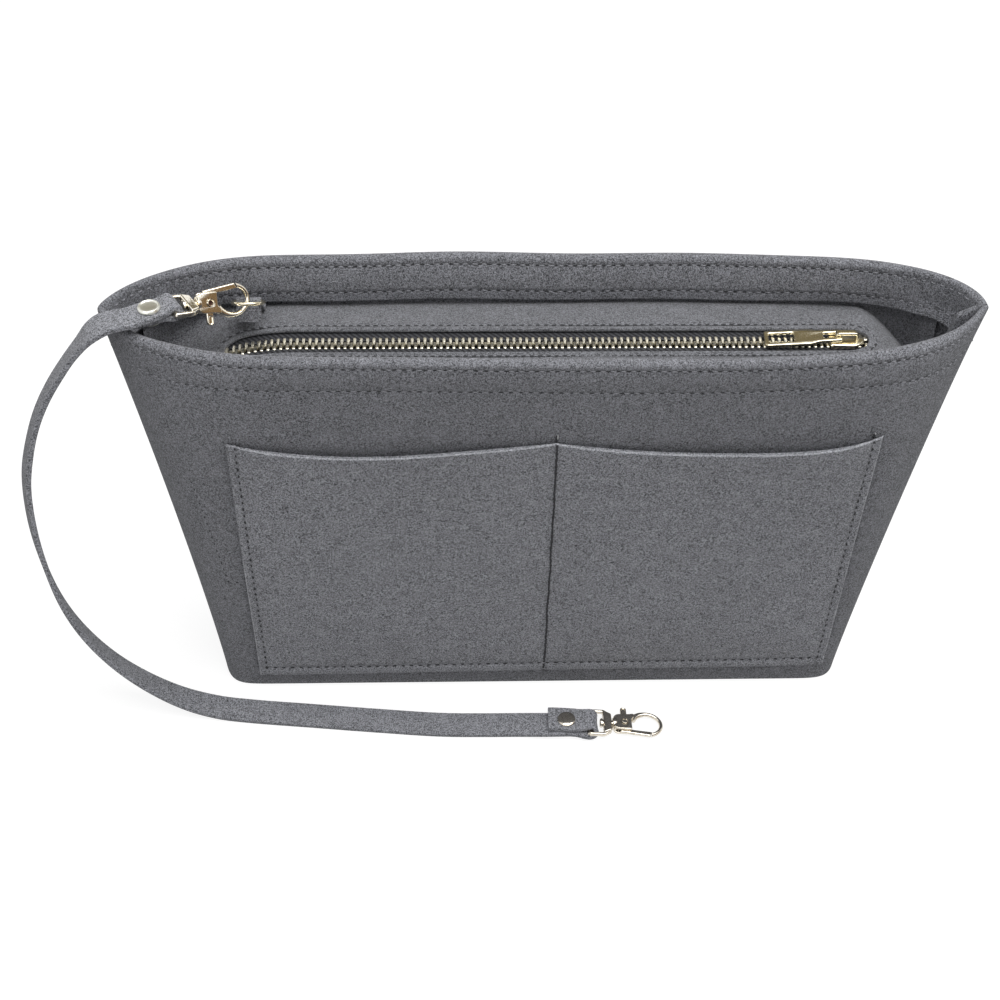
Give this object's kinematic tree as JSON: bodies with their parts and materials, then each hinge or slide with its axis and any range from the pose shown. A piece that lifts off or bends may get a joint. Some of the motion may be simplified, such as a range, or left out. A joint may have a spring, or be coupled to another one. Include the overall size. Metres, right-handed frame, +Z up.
{
  "type": "purse organizer insert",
  "caption": "Felt purse organizer insert with a turned rim, zipped top, outside slip pocket and a riveted felt key strap with swivel clasps.",
  "frame": {"origin": "on the floor under the middle of the felt body's foot", "axes": "+X along the long side to the zipper's closed end, +Y from the pocket side to the back, +Z up"},
  "size_m": [0.3825, 0.0943, 0.206],
  "materials": {
    "felt": "pressed felt, mottled grey",
    "zip_tape": "woven tape",
    "pale_gold": "polished plating",
    "dark_nickel": "polished plating",
    "spring_steel": "satin"
  },
  "bodies": {
    "insert": {"front_wall": "felt", "back_wall": "felt", "base_panel": "felt", "front_pocket_panel": "felt", "inner_pocket_panel": "felt", "zip_flap_front": "felt", "zip_flap_back": "felt", "ring_tab": "felt", "key_strap": "felt", "zip_tape_front": "zip_tape", "zip_tape_back": "zip_tape", "zip_teeth_front": "pale_gold", "zip_teeth_back": "pale_gold", "zip_bottom_stop": "pale_gold", "zip_top_stop_front": "pale_gold", "zip_top_stop_back": "pale_gold", "near_rivet_cap": "pale_gold", "near_rivet_back": "pale_gold", "near_clasp_eye": "pale_gold", "far_rivet_cap": "dark_nickel", "far_rivet_back": "dark_nickel", "far_clasp_eye": "dark_nickel"},
    "slider": {"zip_slider": "pale_gold"},
    "pull": {"zip_pull": "pale_gold"},
    "ring": {"d_ring": "pale_gold"},
    "near_hook": {"near_clasp_hook": "pale_gold", "near_clasp_pin": "pale_gold", "near_clasp_spring": "spring_steel"},
    "near_gate": {"near_clasp_gate": "pale_gold"},
    "far_hook": {"far_clasp_hook": "dark_nickel", "far_clasp_pin": "dark_nickel", "far_clasp_spring": "spring_steel"},
    "far_gate": {"far_clasp_gate": "dark_nickel"}
  },
  "joints": [
    {"name": "zip_slide", "type": "slide", "parent": "insert", "child": "slider", "axis": [1, 0, 0], "range_m": [-0.2, 0]},
    {"name": "zip_pull_hinge", "type": "hinge", "parent": "slider", "child": "pull", "pos_m": [0.1163, 0.0016, 0.181], "axis": [0, 1, 0], "range_deg": [0, 140]},
    {"name": "ring_swing", "type": "hinge", "parent": "insert", "child": "ring", "pos_m": [-0.11569, 0.01284, 0.1897], "axis": [1, 0, 0], "range_deg": [-12, 3]},
    {"name": "near_swivel", "type": "hinge", "parent": "insert", "child": "near_hook", "pos_m": [-0.1428, -0.0056, 0.2018], "axis": [0.8419, 0.4824, -0.242], "range_deg": [-12, 12]},
    {"name": "near_gate_hinge", "type": "hinge", "parent": "near_hook", "child": "near_gate", "pos_m": [-0.12967, 0.00193, 0.19803], "axis": [-0.5345, 0.6833, -0.4974], "range_deg": [0, 20], "stiffness_Nm_per_rad": 0.01, "springref_deg": -8.59},
    {"name": "far_swivel", "type": "hinge", "parent": "insert", "child": "far_hook", "pos_m": [0.0239, -0.053, 0.0046], "axis": [0.996, 0, -0.0897], "continuous": true},
    {"name": "far_gate_hinge", "type": "hinge", "parent": "far_hook", "child": "far_gate", "pos_m": [0.03944, -0.053, 0.0032], "axis": [0.0897, 0, 0.996], "range_deg": [0, 20], "stiffness_Nm_per_rad": 0.01, "springref_deg": -8.59}
  ]
}
